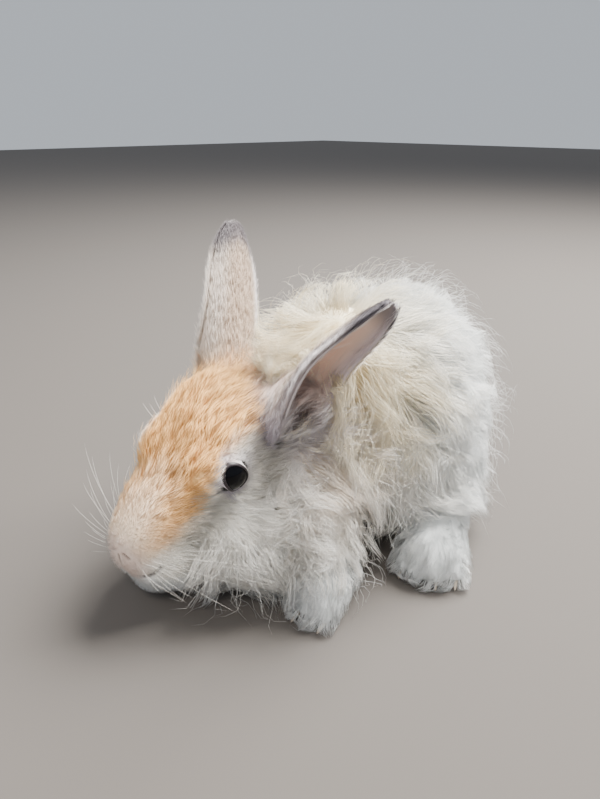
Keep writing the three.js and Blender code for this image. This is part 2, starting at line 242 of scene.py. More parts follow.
def deeper(outer, depth):
    """The form that lies inside another by a depth."""
    def field(p):
        return outer(p) + depth

    field.balls = [(c, r - depth, turn) for c, r, turn in outer.balls]
    return field


def outward(field, p, e=0.4):
    """The unit direction in which a field rises fastest."""
    steps = np.eye(3) * e
    return unit(np.stack([field(p + s) - field(p - s) for s in steps], axis=1))


head_shape = smooth_union(
    [
        ellipsoid((0, 13, 0), (21, 28, 23)),  # skull
        round_cone((0, 0, -2), (0, -34, -9), 21, 12.2),  # bridge of the nose and upper jaw
        ellipsoid((0, -39, -11), (9, 9, 10)),  # nose
        round_cone((0, 10, -26), (0, -35, -32.5), 18, 11.5),  # lower jaw
        ellipsoid((0, -24, -6), (15, 16, 14)),  # sides of the bridge
        ellipsoid((-2, 15, 12), (19, 17, 15)),  # tuft in front of the ears
        ellipsoid((11, -29, -27), (10, 12, 12)),  # left puff behind the mouth
        ellipsoid((-11, -29, -27), (10, 12, 12)),  # right puff behind the mouth
        ellipsoid((5.5, -37, -19), (8.5, 9.5, 10)),  # left whisker pad
        ellipsoid((-5.5, -37, -19), (8.5, 9.5, 10)),  # right whisker pad
        ellipsoid((13, 10, -19), (16, 22, 22)),  # left cheek
        ellipsoid((-13, 10, -19), (16, 22, 22)),  # right cheek
        ellipsoid((14, -2, 9), (7, 15, 8)),  # left brow
        ellipsoid((-14, -2, 9), (7, 15, 8)),  # right brow
    ],
    9,
)
ruff = smooth_union(
    [
        round_cone((-24, 37, 67), (-14, 56, 66), 18, 37),  # neck and ruff
        ellipsoid((-6, 26, 42), (30, 24, 27)),  # base of the throat
    ],
    12,
)
chest = smooth_union(
    [
        ellipsoid((-7, 2, 25), (32, 31, 25)),  # chest
        ellipsoid((-6, 24, 36), (30, 24, 27)),  # brisket
    ],
    12,
)
trunk = smooth_union(
    [
        ellipsoid((-11, 59, 61), (43, 36, 49)),  # shoulders and back
        ellipsoid((-3, 83, 58), (42, 45, 49)),  # rump
        ellipsoid((24, 80, 38), (20, 32, 34)),  # left thigh
        ellipsoid((-24, 80, 38), (20, 32, 34)),  # right thigh
        ellipsoid((0, 64, 36), (36, 50, 28)),  # belly
    ],
    12,
)


def head(p):
    return head_shape(in_head(p)) * HEAD_SCALE


head.balls = [(on_head(*c), r * HEAD_SCALE, HEAD_TURN @ turn) for c, r, turn in head_shape.balls]

# Each ear by its root, its tip, the way its cup opens and the width of its furry root.
EARS = {
    "right": (on_head(-5.5, 28, 8), np.array((-56, 41, 130.7)), np.array((-0.92, 0.05, 0)), 20),
    "left": (on_head(15, 27, 6), np.array((34, 36, 116.0)), np.array((0.77, -0.2, -0.6)), 24),
}


def ear_frame(side):
    """An ear's root, its way to the tip, the way its cup faces, its length and its root's width."""
    base, tip, face, width = EARS[side]
    along = unit(tip - base)
    face = unit(face - along * (face @ along))
    return base, along, face, np.linalg.norm(tip - base), width


def ear_root(side):
    """The furry root of an ear, with the channel of the cup cut down into it."""
    base, along, face, _, width = ear_frame(side)
    root = round_cone(base - along * 3 + face * 2, base + along * 16 + face * 2.5, width / 2, width * 0.37)
    channel = round_cone(base + along * 7 + face * 8, base + along * 34 + face * 14, 5.5, 11)

    def field(p):
        return np.maximum(root(p), -channel(p))

    field.balls = root.balls
    return field


ear_roots = smooth_union([ear_root(side) for side in EARS], 2)


def toes_of(heel, toes, spread, size):
    """The way a foot points, and the knuckles and tips of its four toes on the floor."""
    along = unit(toes - heel)
    u = (np.arange(4)[:, None] - 1.5) / 1.5
    across = np.cross((0, 0, 1), along) * u
    tips = toes + across * spread + along * size * (1.15 - 0.35 * u * u)
    return along, toes + across * spread * 0.6, tips


def foot(heel, toes, half_width, height, toe_spread, toe_size):
    heel, toes = np.array((*heel, 0.0)), np.array((*toes, 0.0))
    up = np.array((0, 0, 1.0))
    back, front = heel + up * height * 0.55, toes + up * height * 0.42
    fields = [round_cone(back, front, half_width * 0.85, half_width)]
    _, knuckles, tips = toes_of(heel, toes, toe_spread, toe_size)
    for knuckle, tip in zip(knuckles, tips):
        a, b = knuckle + up * height * 0.5, tip + up * toe_size * 0.62
        fields.append(round_cone(a, b, toe_size * 0.75, toe_size * 0.62))
    return smooth_union(fields, 4)


# Each foot by its heel and toes on the floor, half its width, its height, and the spread and
# size of its toes.
FEET = {
    "forefoot_left": ((28, 18), (29, 8), 9.5, 16, 8, 6.5),
    "hindfoot_left": ((22, 98), (44, 58), 13.5, 17, 11, 8),
    "forefoot_right": ((-35, 15), (-37, 5), 9.5, 16, 8, 6.5),
    "hindfoot_right": ((-26, 104), (-44, 62), 12, 17, 10, 7.5),
}
feet = smooth_union([foot(*sizes) for sizes in FEET.values()], 2)
forelegs = smooth_union(
    [
        round_cone((21, 21, 30), (27, 13, 14), 13, 11),
        round_cone((-29, 19, 30), (-34, 11, 14), 13, 11),
    ],
    2,
)
tail = ellipsoid((0, 124, 44), (12, 13, 15), np.array(Matrix.Rotation(math.radians(-25), 3, "X")))

# The depth of the coat over the skin in each part, in the order of COAT_PARTS.
COAT_PARTS = (head, ruff, chest, trunk, forelegs, feet, tail, ear_roots)
COAT_DEPTHS = (1.6, 8.5, 8.0, 12.0, 4.0, 2.4, 7.0, 2.0)
eyes_at = [on_head(side * EYE_AT[0], EYE_AT[1], EYE_AT[2]) for side in (1, -1)]  # left, right
skin_field = smooth_union([deeper(f, d) for f, d in zip(COAT_PARTS, COAT_DEPTHS)], 6)


# Markings
# Warm fawn over the forehead and the bridge of the nose, a cream nape and back, pink on the
# muzzle, lilac round the eyes and ears, and white elsewhere. Skin and coat are coloured alike.
FAWN = colour("e8b878")
TAN = colour("e6ccb0")
CREAM = colour("fdebbc")
WHITE = colour("fdf9f0")
COOL_WHITE = colour("f9fdfe")
BLUSH = colour("f3ddd2")
LILAC = colour("d0c8d6")
# Painted shade, laid into the grooves of the mouth, the split lip and the nostrils.
GROOVE_SHADE = colour("3a2624")
# Along the head, from the nose to the nape, how high over the middle the fawn begins.
FAWN_ALONG = (-40, -36, -29, -19, -14, -8, 0, 22, 34)
FAWN_FROM = (-3, -4, -2, 5, 10, 12.5, 14.5, 14, 6)


def over(base, tint, share):
    """Lays a colour over others, by a share from 0 to 1 at each point."""
    share = share[:, None]
    return base * (1 - share) + np.array(tint) * share


def ragged(p, size, far):
    """A soft, uneven shift of a border, so many millimetres far and so many to a swing."""
    q = p / size
    swing = np.sin(q[:, 0] * 1.7 + 2.1 * np.sin(q[:, 1])) + np.sin(q[:, 1] * 1.3 + q[:, 2] * 2.3 + 1.1)
    return swing * far * 0.5


def coat_colour(p):
    """The coat's colour over each point, in linear light."""
    h = in_head(p)
    on_face = 1 - smoothstep(1, 10, np.minimum(head(p), ear_roots(p)))
    made = np.tile(np.array(WHITE), (len(p), 1))
    y = p[:, 1] + ragged(p, 9, 6)
    z = p[:, 2] + ragged(p[:, ::-1], 8, 6)
    back = smoothstep(46, 84, z + 0.1 * y) * (1 - smoothstep(45, 92, y))
    made = over(made, CREAM, 0.75 * back * (1 - on_face))
    shoulder = np.exp(-(((p - np.array((16, 24, 50))) / np.array((16, 15, 20))) ** 2).sum(axis=1))
    made = over(made, TAN, 0.65 * shoulder)
    made = over(made, COOL_WHITE, smoothstep(48, 92, y) * 0.9)
    made = over(made, COOL_WHITE, (1 - smoothstep(14, 26, z)) * 0.85)
    border = np.interp(h[:, 1], FAWN_ALONG, FAWN_FROM)
    border = border - 8 * (1 - smoothstep(7, 16, np.abs(h[:, 0])))
    fawn = smoothstep(-4, 3.5, h[:, 2] - border + ragged(p, 5, 1.0)) * on_face
    fawn = fawn * smoothstep(-52, -24, h[:, 1]) * (1 - smoothstep(32, 50, h[:, 1]))
    bridge = (1 - smoothstep(-38, -14, h[:, 1])) * smoothstep(-14, -4, h[:, 2]) * on_face
    ridge = bridge * (1 - smoothstep(3, 11, np.abs(h[:, 0])))
    made = over(made, TAN, 0.7 * bridge)
    made = over(made, FAWN, fawn * (1 - 0.6 * ridge))
    muzzle = 1 - smoothstep(5, 15, np.linalg.norm(h - np.array((0, -48, -12)), axis=1))
    made = over(made, BLUSH, 0.8 * muzzle)
    for at in eyes_at:
        ring = 1 - smoothstep(7.5, 11.5, np.linalg.norm(p - at, axis=1))
        before = smoothstep(-3, 4, (at - p) @ HEAD_TURN[:, 1])
        made = over(made, LILAC, (0.35 + 0.5 * before) * ring * on_face)
    for side in EARS:
        base, along, _, _, width = ear_frame(side)
        up = (p - base) @ along
        apart = np.linalg.norm(p - base - up[:, None] * along, axis=1)
        near = 1 - smoothstep(width * 0.5, width * 0.9, apart)
        lilac = near * smoothstep(-8, 4, up) * (0.6 if side == "left" else 0.2)
        made = over(made, LILAC, lilac)
    return made


# The skin
# One closed hide over the whole body, from the nose to the tail, in the coat's own colours, with painted
# shade in the grooves of the mouth and nostrils.
# It is grown from balls along the form, then drawn onto the skin's field.
def take_colours(material, layer):
    """Gives a material the colours of a layer of its mesh. Returns its tree, shader and colours."""
    tree = material.node_tree
    shader = tree.nodes["Principled BSDF"]
    colours = add_node(tree, "ShaderNodeAttribute", attribute_name=layer).outputs["Color"]
    tree.links.new(colours, shader.inputs["Base Color"])
    return tree, shader, colours


skin_material = new_material("rabbit_hide", "efe2d6", 0.75, Specular_IOR_Level=0.25)
tree, shader, _ = take_colours(skin_material, "markings")
grain = add_node(tree, "ShaderNodeTexNoise", Scale=900.0, Detail=3.0)
place = add_node(tree, "ShaderNodeTexCoord")
tree.links.new(place.outputs["Object"], grain.inputs["Vector"])
bump = add_node(
    tree, "ShaderNodeBump", [("Height", grain.outputs["Fac"])], Strength=0.35, Distance=0.0004)
tree.links.new(bump.outputs["Normal"], shader.inputs["Normal"])

SKIN_VOXEL = 0.0016
SOLE_LEVEL = 0.5  # the skin of the soles over the floor, in millimetres
FINE_REACH = (17, 13)  # round the mouth, where the skin's mesh is made finer, one after the other
shape = bmesh.new()
for centre, radii, turn in skin_field.balls:
    if radii.min() > 0.5:
        stretched = np.eye(4)
        stretched[:3, :3] = turn * radii * 0.001
        stretched[:3, 3] = to_model(centre)
        bmesh.ops.create_icosphere(shape, subdivisions=3, radius=1, matrix=Matrix(stretched))
skin = add_object("skin", shape, skin_material)
remesh = skin.modifiers.new("hide", "REMESH")
remesh.mode = "VOXEL"
remesh.voxel_size = SKIN_VOXEL
grown = bpy.data.meshes.new_from_object(skin.evaluated_get(bpy.context.evaluated_depsgraph_get()))
skin.modifiers.clear()
skin.data = grown
shape = bmesh.new()
shape.from_mesh(grown)
for reach in FINE_REACH:
    start = from_model(np.array([e.verts[0].co for e in shape.edges]))
    near = np.linalg.norm(start - on_head(0, -41, -17), axis=1) < reach
    for at in eyes_at:
        near |= np.linalg.norm(start - at, axis=1) < 6 + reach / 3
    fine = [e for e, chosen in zip(shape.edges, near) if chosen]
    bmesh.ops.subdivide_edges(shape, edges=fine, cuts=1, use_grid_fill=True)
    bmesh.ops.triangulate(shape, faces=[f for f in shape.faces if len(f.verts) > 4])
shape.to_mesh(grown)
shape.free()


def points_of(mesh):
    flat = np.empty(len(mesh.vertices) * 3)
    mesh.vertices.foreach_get("co", flat)
    return from_model(flat.reshape(-1, 3))


def move_points(mesh, points):
    mesh.vertices.foreach_set("co", to_model(points).astype(np.float32).ravel())
    mesh.update()


def relax(mesh, points, rounds):
    """Evens out the spacing of the points along the mesh."""
    ends = np.empty(len(mesh.edges) * 2, int)
    mesh.edges.foreach_get("vertices", ends)
    a, b = ends.reshape(-1, 2).T
    count = np.bincount(a, minlength=len(points)) + np.bincount(b, minlength=len(points))
    for _ in range(rounds):
        total = np.zeros_like(points)
        np.add.at(total, a, points[b])
        np.add.at(total, b, points[a])
        points = points * 0.5 + total / count[:, None] * 0.5
    return points


def onto(field, points, rounds=3):
    """Moves points onto a field's surface."""
    for _ in range(rounds):
        away = np.clip(field(points), -4, 4)
        points = points - outward(field, points) * away[:, None]
    return points


points = onto(skin_field, relax(grown, points_of(grown), 2))
points = onto(skin_field, relax(grown, points, 3), 2)
move_points(grown, points)

# The eye hollows: the skin runs down to the rim of the lids, and behind the eyeball inside it.
EYES_OUT = [unit(HEAD_TURN @ np.array((side * 0.95, -0.25, 0.18))) for side in (1, -1)]
EYES = tuple(zip(("left", "right"), eyes_at, EYES_OUT))
LID_RADIUS = 5.9
EYE_FORWARD = HEAD_TURN @ np.array((0, -1, -0.3))
EYE_SHAPE = (0.75, 1.04)  # of the lids' opening, along the head and upwards, in lid radii


def eye_axes(out):
    """The ways forward and up across an eye that looks out a given way."""
    forward = unit(EYE_FORWARD - out * (EYE_FORWARD @ out))
    return forward, np.cross(out, forward)


def round_eye(p, at, out):
    """How far points are along an eye's axis, off it as the lids' oval counts, and truly off it."""
    forward, up = eye_axes(out)
    x, y = (p - at) @ forward / EYE_SHAPE[0], (p - at) @ up / EYE_SHAPE[1]
    return (p - at) @ out, np.hypot(x, y), np.hypot((p - at) @ forward, (p - at) @ up)


for _, at, out in EYES:
    along, across, apart = round_eye(points, at, out)
    ball = np.sqrt(np.maximum((EYE_RADIUS + 0.3) ** 2 - apart ** 2, 0))
    blend = (1 - smoothstep(LID_RADIUS, 10, across)) * (along > 0) * (along < 14)
    goal = np.where(across < LID_RADIUS - 0.2, -ball, along + (ball - along) * blend)
    points = points + ((goal - along) * (blend > 0))[:, None] * out


# The line of the mouth, the split lip and the nostrils are grooves in the skin.
LIPS_ROUND = -34.5  # along the head, the middle of the arc that the lips follow
LIPS_TO = 1.15  # how far round that arc the corners of the mouth are, in radians
NOSTRIL_SLANT = 0.66
GROOVE_DEPTH = 1.9


def mouth_and_nostrils(p):
    """How deep the line of the mouth, the split lip and the nostrils are at each point, 0 to 1."""
    h = in_head(p)
    angle = np.arctan2(h[:, 0], -(h[:, 1] - LIPS_ROUND))
    u = angle / LIPS_TO
    line = np.exp(-((h[:, 2] + 20.4 - 5.4 * u * u) / 0.8) ** 2)
    line = line * (1 - smoothstep(0.9, 1.1, np.abs(u))) * smoothstep(-33, -37, h[:, 1])
    split = np.exp(-(h[:, 0] / 0.45) ** 2) * smoothstep(-22, -20, h[:, 2])
    split = split * (1 - smoothstep(-9, -7, h[:, 2])) * smoothstep(-40, -44, h[:, 1]) * 0.8
    slits = np.zeros(len(p))
    for sign in (1, -1):
        x, z = h[:, 0] - sign * 3.6, h[:, 2] + 7.5
        along = x * math.cos(NOSTRIL_SLANT) - sign * z * math.sin(NOSTRIL_SLANT)
        across = sign * x * math.sin(NOSTRIL_SLANT) + z * math.cos(NOSTRIL_SLANT)
        slit = 0.6 * np.exp(-(along / 1.8) ** 4 - (across / 0.5) ** 2)
        slits = np.maximum(slits, slit * smoothstep(-40, -43, h[:, 1]))
    return np.maximum(np.maximum(line, split), slits)


grooves = mouth_and_nostrils(points)
points = points - outward(skin_field, points) * (GROOVE_DEPTH * grooves)[:, None]
points[:, 2] = np.maximum(points[:, 2], SOLE_LEVEL)
move_points(grown, points)


def paint(mesh, name, linear):
    """Stores a colour for each point of a mesh."""
    layer = mesh.color_attributes.new(name=name, type="FLOAT_COLOR", domain="POINT")
    layer.data.foreach_set("color", np.c_[linear, np.ones(len(linear))].astype(np.float32).ravel())


# Painted shade: the deeper a groove, the nearer its skin is painted to near-black brown.
paint(grown, "markings", over(coat_colour(points), GROOVE_SHADE, np.clip(grooves * 1.5, 0, 0.95)))
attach(skin, "root")
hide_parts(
    "head", "neck", "chest", "torso_front", "torso_rear", "thigh_left", "thigh_right", "tail",
    "foreleg_left", "foreleg_right", "forefoot_left", "forefoot_right", "hindfoot_left", "hindfoot_right",
)


# The eyes
# Dark, wet balls that fill their sockets, almost black all over. Their front bulges a little
# and is smooth enough for a sharp reflection.
eye_wet = new_material("wet_dark_eye", "030306", 0.04, IOR=1.376, Specular_IOR_Level=0.3)
EYE_BULGE = 0.0005
for side, at, out in EYES:
    shape = bmesh.new()
    turn = Vector(out).to_track_quat("Z", "Y").to_matrix().to_4x4()
    bmesh.ops.create_uvsphere(shape, u_segments=48, v_segments=32, radius=EYE_RADIUS * 0.001)
    for point in shape.verts:
        bulge = smoothstep(0.6, 1.0, np.array(point.co.z / (EYE_RADIUS * 0.001)))
        point.co.z += EYE_BULGE * float(bulge)
    bmesh.ops.transform(shape, matrix=Matrix.Translation(to_model(at)) @ turn, verts=shape.verts)
    eye = add_object("eyeball_" + side, shape, eye_wet)
    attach(eye, "root")
    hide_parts("eye_" + side)

# The lids
# Soft rims of bare, dusky skin round each eye, a little longer towards the nose, where the
# dark corner is. They are closed rings that lie on the eyeball.
lid_skin = new_material("bare_lid_skin", "2b2429", 0.4)
LID_THICKNESS = 0.65
CORNER_STRETCH = 0.2
for side, at, out in EYES:
    shape = bmesh.new()
    forward, up = eye_axes(out)
    down = 1 if up[2] < 0 else -1
    ring = bmesh.ops.create_circle(shape, segments=10, radius=LID_THICKNESS)
    bmesh.ops.rotate(shape, verts=shape.verts, matrix=Matrix.Rotation(math.pi / 2, 3, "X"))
    bmesh.ops.translate(shape, verts=shape.verts, vec=(LID_RADIUS, 0, 0))
    bmesh.ops.spin(
        shape, geom=shape.verts[:] + shape.edges[:], axis=(0, 0, 1), cent=(0, 0, 0), angle=math.tau, steps=48,
        use_merge=True,
    )
    for point in shape.verts:
        x, y, z = point.co
        angle = math.atan2(y, x)
        corner = max(0.0, math.cos(angle - down * 0.9)) ** 8
        stretch = 1.0 + CORNER_STRETCH * corner
        x, y = x * stretch * EYE_SHAPE[0], y * stretch * EYE_SHAPE[1]
        r = math.hypot(x, y)
        level = math.sqrt(max((EYE_RADIUS + 0.2) ** 2 - min(r, EYE_RADIUS - 0.4) ** 2, 0))
        q = at + forward * x + up * y + out * (level + z * 0.9)
        point.co = to_model(q)
    bmesh.ops.recalc_face_normals(shape, faces=shape.faces)
    lid = add_object("lid_" + side, shape, lid_skin)
    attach(lid, "root")

# The ears
# Long cupped leaves of cartilage and thin skin, rolled at the base, with a pink inside and a
# rounded tip. They are single sheets given an even wall, sunk a little way into the head.
EAR_WIDTH = 23
EAR_ROWS, EAR_COLUMNS = 40, 20
EAR_WALL = 0.0014
EAR_SUNK = 5
# How wide each ear is at three heights near the root, as a share of its half width, and how far
# its edges roll round from the middle at the root, in radians.
ROOT_HEIGHTS = (0, 0.12, 0.22)
ROOT_SHARES = {"left": (0.5, 0.8, 0.95), "right": (0.55, 0.68, 0.75)}
ROOT_ROLL = {"left": 2.3, "right": 2.0}
BLADE_ROLL = 1.15  # the same over the open part of either ear
CUP_PALE = colour("ecd3c6")
CUP_PINK = colour("eebda4")
CUP_TIP = colour("716f75")
BACK_PALE = colour("ddd0c4")
BACK_MIDDLE = colour("b79f8b")
# Painted shade for the fold where the left ear rolls over.
FOLD_SHADE = colour("8b8387")
BACK_TIP = colour("625e64")
CUP_HAIR = colour("efe4e2")
ear_skin = new_material("ear_skin", "e9d2c8", 0.6, Specular_IOR_Level=0.3)
take_colours(ear_skin, "markings")
ear_hide = new_material("ear_hide_back", "cfc0b0", 0.8, Specular_IOR_Level=0.15)
take_colours(ear_hide, "markings_back")


def ear_point(side, u, s, inset=0.0):
    """Points of an ear's wall: u runs across from -1 to 1, s from the root at 0 to the tip at 1."""
    base, along, face, length, _ = ear_frame(side)
    length = length - 2
    across = np.cross(along, face)
    blade = np.sqrt(np.maximum(0.012, 1 - ((s - 0.45) / 0.56) ** 2))
    root = np.interp(s, ROOT_HEIGHTS, ROOT_SHARES[side])
    half = EAR_WIDTH / 2 * (root + (blade - root) * smoothstep(0.05, 0.38, s))
    closed = ROOT_ROLL[side]
    wrap = closed + (BLADE_ROLL - closed) * smoothstep(0.05, 0.62, s)
    arc = half / np.sin(np.minimum(wrap, 1.45))
    radius = arc - inset
    return (
        base
        + along * (s * (length + EAR_SUNK) - EAR_SUNK)[:, None]
        + across * (radius * np.sin(u * wrap))[:, None]
        + face * (arc * 0.75 - radius * np.cos(u * wrap) - 2 * np.sin(np.pi * s))[:, None]
    )


def ear_inside(u, s):
    """Pink in the hollow of the cup, paler and bluish along the rims, grey at the tip."""
    made = np.tile(np.array(CUP_PALE), (len(u), 1))
    made = over(made, CUP_PINK, np.exp(-(((s - 0.58) / 0.24) ** 2 + ((u - 0.1) / 0.5) ** 2)) * 0.7)
    made = over(made, LILAC, smoothstep(0.45, 0.95, np.abs(u)) * 0.7)
    made = over(made, LILAC, (1 - smoothstep(0.1, 0.4, s)) * 0.8)
    return over(made, CUP_TIP, smoothstep(0.8, 0.95, s) * 0.85)


def ear_outside(side, u, s):
    """Whitish fur, thin and pinkish along the middle, lilac along one rim and dusky at the tip and the rims
    near it, with painted shade along the fold of the left ear.
    """
    made = np.tile(np.array(BACK_PALE), (len(u), 1))
    made = over(made, BACK_MIDDLE, 0.8 * (1 - smoothstep(0.2, 0.8, np.abs(u))))
    made = over(made, LILAC, 0.5 * smoothstep(0.5, 0.9, -u))
    # Painted shade: a dark band along the fold of the left ear, where its rim rolls over.
    fold_shade = np.exp(-((u + 0.78 + 0.1 * np.sin(9 * s)) / 0.13) ** 2) * (side == "left")
    made = over(made, FOLD_SHADE, 0.7 * fold_shade)
    made = over(made, FAWN if side == "right" else LILAC, 0.7 * (1 - smoothstep(0.08, 0.3, s)))
    return over(made, BACK_TIP, smoothstep(0.78, 0.94, s + 0.1 * np.abs(u)) * 0.92)


for side in EARS:
    shape = bmesh.new()
    bmesh.ops.create_grid(shape, x_segments=EAR_COLUMNS, y_segments=EAR_ROWS, size=1)
    flat = np.array([point.co[:2] for point in shape.verts])
    u, s = flat[:, 0], flat[:, 1] / 2 + 0.5
    placed = ear_point(side, u, s)
    for point, q in zip(shape.verts, placed):
        point.co = to_model(q)
    shape.normal_update()
    centre = Vector(to_model(placed.mean(axis=0)))
    middle = min(shape.faces, key=lambda f: (f.calc_center_median() - centre).length)
    halfway = np.zeros(1), np.full(1, 0.5)
    behind = ear_point(side, *halfway, -1.0) - ear_point(side, *halfway)
    if middle.normal.dot(Vector(behind[0])) < 0:
        bmesh.ops.reverse_faces(shape, faces=shape.faces)
    ear = add_object("ear_" + side + "_skin", shape, ear_hide, ear_skin)
    paint(ear.data, "markings", ear_inside(u, s))
    paint(ear.data, "markings_back", ear_outside(side, u, s))
    wall = ear.modifiers.new("wall", "SOLIDIFY")
    wall.thickness = EAR_WALL
    wall.offset = 0
    wall.material_offset = 1  # the inside takes the second material
    smooth = ear.modifiers.new("smooth", "SUBSURF")
    smooth.levels = smooth.render_levels = 1
    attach(ear, "root")
    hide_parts("ear_" + side)


# The wool
# Fine, soft, slightly curled hair up to 37 mm long. It grows out of the skin as thin locks that
# lie backwards over the back and fall down the flanks, chest and legs, gathered at their tips.
# White hair lets light through, and fawn hair little, by the blue of its colour.
wool_fibre = new_material(
    "angora_wool", "f1eee8", 0.85, Specular_IOR_Level=0.15, Subsurface_Weight=0.7,
    Subsurface_Scale=0.003, Subsurface_Radius=(1.0, 0.95, 0.9))
tree, shader, markings = take_colours(wool_fibre, "markings")
parted = add_node(tree, "ShaderNodeSeparateColor", [("Color", markings)])
glow = add_node(tree, "ShaderNodeMapRange", [("Value", parted.outputs["Blue"])])
for socket, value in zip(("From Min", "From Max", "To Min", "To Max"), (0.35, 0.85, 0.0, 0.7)):
    glow.inputs[socket].default_value = value
tree.links.new(glow.outputs["Result"], shader.inputs["Subsurface Weight"])
# For each part: hairs per square millimetre, length, height of the tips over the skin and width
# in millimetres, and lift at the root in radians. The order is that of COAT_PARTS.
GROWTH = {
    "head": (2.7, 10.0, 1.9, 0.18, 0.28),
    "ruff": (1.7, 27, 8.5, 0.22, 0.6),
    "chest": (1.6, 29, 8.5, 0.22, 0.6),
    "trunk": (1.25, 32, 12.0, 0.25, 0.7),
    "forelegs": (1.6, 17, 4.5, 0.22, 0.5),
    "feet": (1.4, 13, 4.2, 0.23, 0.6),
    "tail": (1.5, 22, 7.5, 0.23, 0.7),
    "ear_roots": (2.2, 12, 2.6, 0.19, 0.4),
}
growth = np.array(list(GROWTH.values()))
# The parts by number, in that order. The cheeks are a part of the head with longer hair.
HEAD, RUFF, CHEST, TRUNK, FORELEGS, PAWS, TAIL, EAR_ROOTS, CHEEKS = range(9)


def gradient(p, e=0.5):
    """The skin's field and its outward direction at points."""
    d = skin_field(p)
    rise = np.stack([skin_field(p + step) - d for step in np.eye(3) * e], axis=1)
    return d, unit(rise)


def scatter(mesh, density, seed):
    """Random points on the skin, so many to the square millimetre, with their way outwards."""
    rng = np.random.default_rng(seed)
    mesh.calc_loop_triangles()
    corners = np.empty(len(mesh.loop_triangles) * 3, int)
    mesh.loop_triangles.foreach_get("vertices", corners)
    a, b, c = (points_of(mesh)[corners.reshape(-1, 3)[:, k]] for k in range(3))
    area = np.linalg.norm(np.cross(b - a, c - a), axis=1) / 2
    count = int(area.sum() * density)
    pick = rng.choice(len(area), count, p=area / area.sum())
    u, w = rng.random(count), rng.random(count)
    flip = u + w > 1
    u[flip], w[flip] = 1 - u[flip], 1 - w[flip]
    p = a[pick] + (b - a)[pick] * u[:, None] + (c - a)[pick] * w[:, None]
    return p, gradient(p)[1], rng


def shares(p):
    """How much each part of the coat has a say at each point."""
    d = np.stack([f(p) + depth for f, depth in zip(COAT_PARTS, COAT_DEPTHS)], axis=1)
    w = np.exp(-(d - d.min(axis=1, keepdims=True)) / 2.2)
    return w / w.sum(axis=1, keepdims=True)


def cheek_share(p, w):
    """Where the short hair of the face grows long, over the cheek and under the jaw."""
    h = in_head(p)
    behind_mouth = smoothstep(-46, -24, h[:, 1] - 0.4 * np.abs(h[:, 0]))
    return w[:, HEAD] * behind_mouth * (1 - smoothstep(-22, -4, h[:, 2]))


def columns(x, y, z):
    """Vectors from their x, y and z, each one number for all or one for each."""
    return np.stack(np.broadcast_arrays(x, y, z), axis=1)


NOSE_TIP = on_head(0, -50, -8)


def lie_of_coat(p, n, w):
    """The way the hair lies at each point of the skin."""
    cheek = cheek_share(p, w)[:, None]
    face = unit(p - NOSE_TIP) + np.array((0, 0, -0.25)) + cheek * np.array((0.1, 0.1, -1.1))
    for at in eyes_at:
        away = p - at
        near = np.exp(-np.maximum(np.linalg.norm(away, axis=1) - 7, 0) / 4)[:, None]
        face = face + unit(away) * near * 1.2
    h = in_head(p)
    round_mouth = columns(np.sign(h[:, 0]) * -(h[:, 1] - LIPS_ROUND), np.abs(h[:, 0]), 0.0)
    at_mouth = np.exp(-((h[:, 2] + 18) / 3) ** 2) * smoothstep(-32, -38, h[:, 1])
    face = face + unit(round_mouth) @ HEAD_TURN.T * (2.5 * at_mouth)[:, None]
    front = smoothstep(0.2, 0.7, -n[:, 1])[:, None]
    sideways = 1 - np.maximum(0, n[:, 2])
    back = columns(0.25 * n[:, 0], 0.55 + 0.18 * n[:, 1], -0.25 - 0.75 * sideways)
    fall = columns(0.3 * n[:, 0], 0.1, -1.0)
    wool = back * (1 - front) + fall * front
    hind = smoothstep(40, 60, p[:, 1])
    toes = columns(np.sign(p[:, 0]) * 0.45 * hind + 0.05, -0.9, -0.45)
    leg = np.tile((0.0, -0.15, -1.0), (len(p), 1))
    tail_way = np.tile((0.0, 0.8, 0.45), (len(p), 1))
    to_left, to_right = (np.linalg.norm(p - EARS[side][0], axis=1) for side in ("left", "right"))
    at_left_ear = (to_left < to_right)[:, None]
    ear_way = np.where(at_left_ear, ear_frame("left")[1], ear_frame("right")[1])
    ways = (face, wool, wool, wool, leg, toes, tail_way, ear_way)
    lie = sum(w[:, i:i + 1] * unit(v) for i, v in enumerate(ways))
    lie = lie - n * (lie * n).sum(axis=1, keepdims=True)
    return unit(lie)


ROOT_DEPTH = 0.5  # of a hair, in the skin


def grow(p, n, lie, length, height, lift, turn, segments):
    """Walks each hair out of the skin and along the coat, and gives its line of points."""
    line = [p - n * ROOT_DEPTH]
    heading = unit(lie * np.cos(lift)[:, None] + n * np.sin(lift)[:, None])
    step = (length / segments)[:, None]
    for k in range(1, segments + 1):
        q = line[-1] + heading * step
        d, out = gradient(q)
        wanted = height * (1 - (1 - k / segments) ** 1.8)
        q = q + out * np.clip(wanted - d, -0.7 * step[:, 0], 0.5 * step[:, 0])[:, None]
        line.append(q)
        heading = unit(q - line[-2])
        side = np.cross(out, heading)
        heading = unit(heading + side * np.tan(turn / segments)[:, None])
    return np.stack(line, axis=1)


def locks_of(roots, every, rng):
    """Sorts roots into locks: which root guides each lock, and which lock each root is in."""
    guides = rng.choice(len(roots), max(1, len(roots) // every), replace=False)
    tree = KDTree(len(guides))
    for i, g in enumerate(guides):
        tree.insert(roots[g], i)
    tree.balance()
    return guides, np.array([tree.find(root)[1] for root in roots])


def gather(line, guide, share, spread):
    """Draws the tips of the hairs of a lock together."""
    t = np.linspace(0, 1, line.shape[1])[None, :, None]
    target = guide + (line[:, :1] - guide[:, :1]) * (1 - t * (1 - spread))
    return line + (target - line) * share[:, None, None] * t ** 1.2


